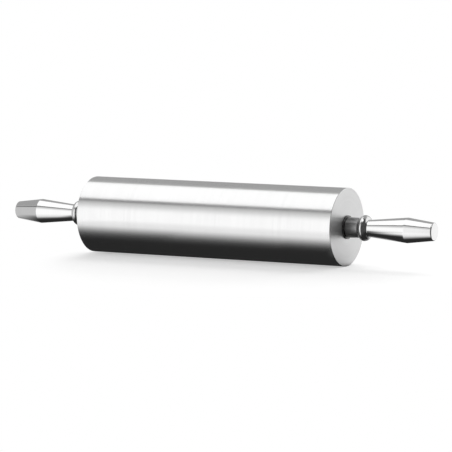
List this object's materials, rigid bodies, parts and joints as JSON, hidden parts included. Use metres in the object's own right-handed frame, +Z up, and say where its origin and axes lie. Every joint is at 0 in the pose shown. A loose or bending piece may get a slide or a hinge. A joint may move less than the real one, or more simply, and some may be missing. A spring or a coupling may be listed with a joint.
{
  "type": "rolling pin",
  "caption": "Aluminium rolling pin: a hollow satin barrel that turns on ball bearings, with a turned tapered handle at each end.",
  "frame": {"origin": "middle of the barrel, on its axis", "axes": "+X along the axis towards the right handle, +Z up; the pin is the same both ways round"},
  "size_m": [0.5462, 0.0888, 0.0888],
  "materials": {
    "barrel": "satin, turned and polished round the axis",
    "end_face": "fine faced, matte, with faint concentric turning marks",
    "handle": "polished",
    "washer": "blackened steel",
    "axle": "ground bar",
    "race": "ground bearing steel",
    "ball": "lapped bearing steel",
    "shield": "pressed sheet steel",
    "cage": "pressed sheet steel"
  },
  "bodies": {
    "barrel": {"barrel_tube": "barrel", "bearing_outer_race_left": "race", "bearing_outer_race_right": "race", "bearing_shield_inner_left": "shield", "bearing_shield_inner_right": "shield", "bearing_shield_outer_left": "shield", "bearing_shield_outer_right": "shield", "end_plug_left": "end_face", "end_plug_right": "end_face"},
    "axle_and_handles": {"axle_rod": "axle", "bearing_inner_race_left": "race", "bearing_inner_race_right": "race", "dust_washer_left": "washer", "dust_washer_right": "washer", "handle_left": "handle", "handle_right": "handle"},
    "ball_set_left": {"bearing_ball_1_left": "ball", "bearing_ball_2_left": "ball", "bearing_ball_3_left": "ball", "bearing_ball_4_left": "ball", "bearing_ball_5_left": "ball", "bearing_ball_6_left": "ball", "bearing_ball_7_left": "ball", "cage_inner_half_left": "cage", "cage_outer_half_left": "cage", "cage_rivets_left": "cage"},
    "ball_set_right": {"bearing_ball_1_right": "ball", "bearing_ball_2_right": "ball", "bearing_ball_3_right": "ball", "bearing_ball_4_right": "ball", "bearing_ball_5_right": "ball", "bearing_ball_6_right": "ball", "bearing_ball_7_right": "ball", "cage_inner_half_right": "cage", "cage_outer_half_right": "cage", "cage_rivets_right": "cage"}
  },
  "joints": [
    {"name": "handle_spin", "type": "hinge", "parent": "barrel", "child": "axle_and_handles", "pos_m": [0, 0, 0], "axis": [1, 0, 0], "continuous": true},
    {"name": "ball_set_spin_left", "type": "hinge", "parent": "barrel", "child": "ball_set_left", "pos_m": [-0.1601, 0, 0], "axis": [1, 0, 0], "continuous": true},
    {"name": "ball_set_spin_right", "type": "hinge", "parent": "barrel", "child": "ball_set_right", "pos_m": [0.1601, 0, 0], "axis": [1, 0, 0], "continuous": true}
  ],
  "couplings": [
    {"joint": "ball_set_spin_left", "follows": "handle_spin", "ratio": 0.36772},
    {"joint": "ball_set_spin_right", "follows": "handle_spin", "ratio": 0.36772}
  ]
}
